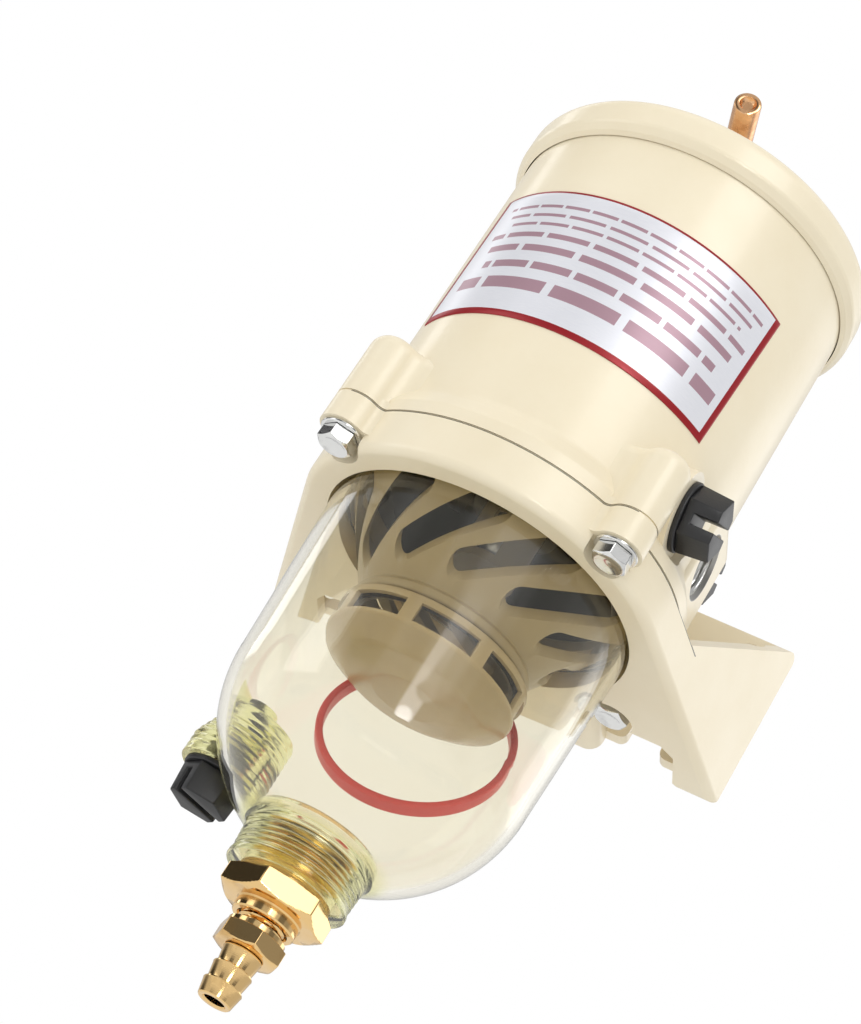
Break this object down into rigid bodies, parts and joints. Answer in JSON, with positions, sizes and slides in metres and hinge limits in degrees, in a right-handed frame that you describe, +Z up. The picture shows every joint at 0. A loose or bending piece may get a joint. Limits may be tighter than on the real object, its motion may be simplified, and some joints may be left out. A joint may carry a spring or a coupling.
{
  "type": "fuel water separator",
  "caption": "Wall-mounted fuel filter and water separator: cream cast canister, screw-down lid, clear bowl with spin vanes and a brass drain.",
  "frame": {"origin": "centre of the bracket's four-hole pattern, on the face that meets the wall", "axes": "+Z up along the canister towards the lid, +Y out of the wall face into the wall, +X to the right seen from the front"},
  "size_m": [0.147, 0.1194, 0.2993],
  "materials": {
    "cream_paint": "satin powder coat",
    "plate_foil": "printed foil with a red border",
    "bracket_paint": "satin powder coat",
    "zinc_steel": "bright zinc plate",
    "washer_steel": "bright zinc plate",
    "clear_bowl": "clear, slightly yellow moulded plastic",
    "gasket_rubber": "matt",
    "black_plastic": "matt, moulded",
    "seal_rubber": "matt",
    "probe_plastic": "matt, moulded",
    "probe_seal_rubber": "matt",
    "turbine_plastic": "beige, moulded",
    "cap_plastic": "beige, moulded",
    "cage_plastic": "moulded",
    "ball_steel": "polished",
    "seat_rubber": "matt",
    "tube_steel": "turned",
    "media_paper": "pleated",
    "element_cap_paint": "gloss",
    "element_base_paint": "gloss",
    "core_steel": "perforated sheet",
    "grommet_rubber": "matt",
    "bail_steel": "wire",
    "lid_paint": "satin powder coat",
    "lid_gasket_rubber": "matt",
    "handle_washer_steel": "yellow zinc plate",
    "stem_steel": "yellow zinc plate",
    "bar_steel": "yellow zinc plate",
    "handle_seal_rubber": "matt",
    "drain_brass": "machined",
    "drain_seal_rubber": "matt",
    "stem_brass": "machined",
    "stem_seal_rubber": "matt",
    "red_rubber": "smooth"
  },
  "bodies": {
    "housing": {"body_casting": "cream_paint", "name_plate": "plate_foil", "bracket": "bracket_paint", "ring_screws": "zinc_steel", "ring_washers": "washer_steel", "bowl": "clear_bowl", "bowl_gasket": "gasket_rubber", "port_plugs": "black_plastic", "port_plug_seals": "seal_rubber", "probe_plug": "probe_plastic", "probe_plug_seal": "probe_seal_rubber", "turbine": "turbine_plastic", "turbine_cap": "cap_plastic", "ball_cage": "cage_plastic", "ball_seat": "seat_rubber", "return_tube": "tube_steel", "element_media": "media_paper", "element_top_cap": "element_cap_paint", "element_bottom_cap": "element_base_paint", "element_core": "core_steel", "element_grommets": "grommet_rubber", "element_bail": "bail_steel", "drain_body": "drain_brass", "drain_seal": "drain_seal_rubber", "bowl_ring": "red_rubber"},
    "lid_cover": {"lid": "lid_paint", "lid_gasket": "lid_gasket_rubber", "handle_seal": "handle_seal_rubber"},
    "handle_slide": {"handle_washer": "handle_washer_steel"},
    "handle": {"handle_stem": "stem_steel", "handle_bar": "bar_steel"},
    "drain_ring": {"drain_stem_seal": "stem_seal_rubber"},
    "drain_valve": {"drain_stem": "stem_brass"},
    "ball": {"check_ball": "ball_steel"}
  },
  "joints": [
    {"name": "lid_lift", "type": "slide", "parent": "housing", "child": "lid_cover", "axis": [0, 0, 1], "range_m": [0, 0.06]},
    {"name": "handle_rise", "type": "slide", "parent": "lid_cover", "child": "handle_slide", "axis": [0, 0, 1], "range_m": [0, 0.0127]},
    {"name": "handle_turn", "type": "hinge", "parent": "handle_slide", "child": "handle", "pos_m": [0, -0.0647, 0.127], "axis": [0, 0, 1], "range_deg": [0, 2880]},
    {"name": "drain_drop", "type": "slide", "parent": "housing", "child": "drain_ring", "axis": [0, 0, -1], "range_m": [0, 0.0042]},
    {"name": "drain_turn", "type": "hinge", "parent": "drain_ring", "child": "drain_valve", "pos_m": [0, -0.0647, -0.149], "axis": [0, 0, -1], "range_deg": [0, 1080]},
    {"name": "ball_float", "type": "slide", "parent": "housing", "child": "ball", "axis": [0, 0, 1], "range_m": [0, 0.004]}
  ],
  "couplings": [
    {"joint": "handle_turn", "follows": "handle_rise", "rad_per_m": 3957.9},
    {"joint": "drain_turn", "follows": "drain_drop", "rad_per_m": 4488}
  ]
}
